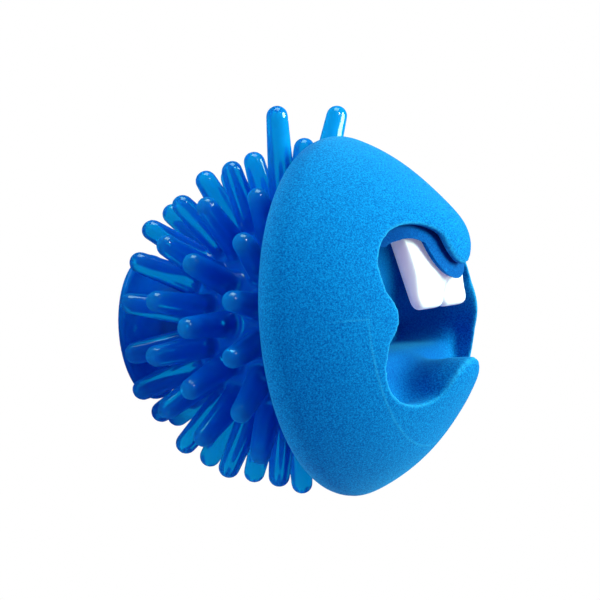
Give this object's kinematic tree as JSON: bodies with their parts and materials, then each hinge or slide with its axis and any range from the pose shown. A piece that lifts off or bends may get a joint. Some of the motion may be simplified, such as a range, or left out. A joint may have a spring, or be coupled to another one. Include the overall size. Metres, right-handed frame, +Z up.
{
  "type": "treat dispensing ball",
  "caption": "Ball-shaped pet toy: foam face with a toothed mouth on a hollow spiky rubber half with a round foot.",
  "frame": {"origin": "middle of the foot's flat underside", "axes": "+Z up along the ball's axis and out of the mouth, +Y towards the brow and the upper lip, +X across the mouth"},
  "size_m": [0.0844, 0.0925, 0.0813],
  "materials": {
    "foam": "matte speckled foam",
    "gum_foam": "matte foam",
    "tooth": "satin",
    "clear_rubber": "glossy translucent"
  },
  "bodies": {
    "ball": {"foam_face": "foam", "upper_gum": "gum_foam", "spiky_shell": "clear_rubber", "front_spikes": "clear_rubber", "middle_spikes": "clear_rubber", "rear_spikes": "clear_rubber", "foot_spikes": "clear_rubber", "foot": "clear_rubber"},
    "left_tooth": {"tooth_left": "tooth"},
    "right_tooth": {"tooth_right": "tooth"}
  },
  "joints": [
    {"name": "tooth_left_flex", "type": "hinge", "parent": "ball", "child": "left_tooth", "pos_m": [-0.0073, 0.0183, 0.0706], "axis": [1, 0, 0], "range_deg": [0, 35], "stiffness_Nm_per_rad": 0.008},
    {"name": "tooth_right_flex", "type": "hinge", "parent": "ball", "child": "right_tooth", "pos_m": [0.0073, 0.0183, 0.0706], "axis": [1, 0, 0], "range_deg": [0, 35], "stiffness_Nm_per_rad": 0.008}
  ]
}
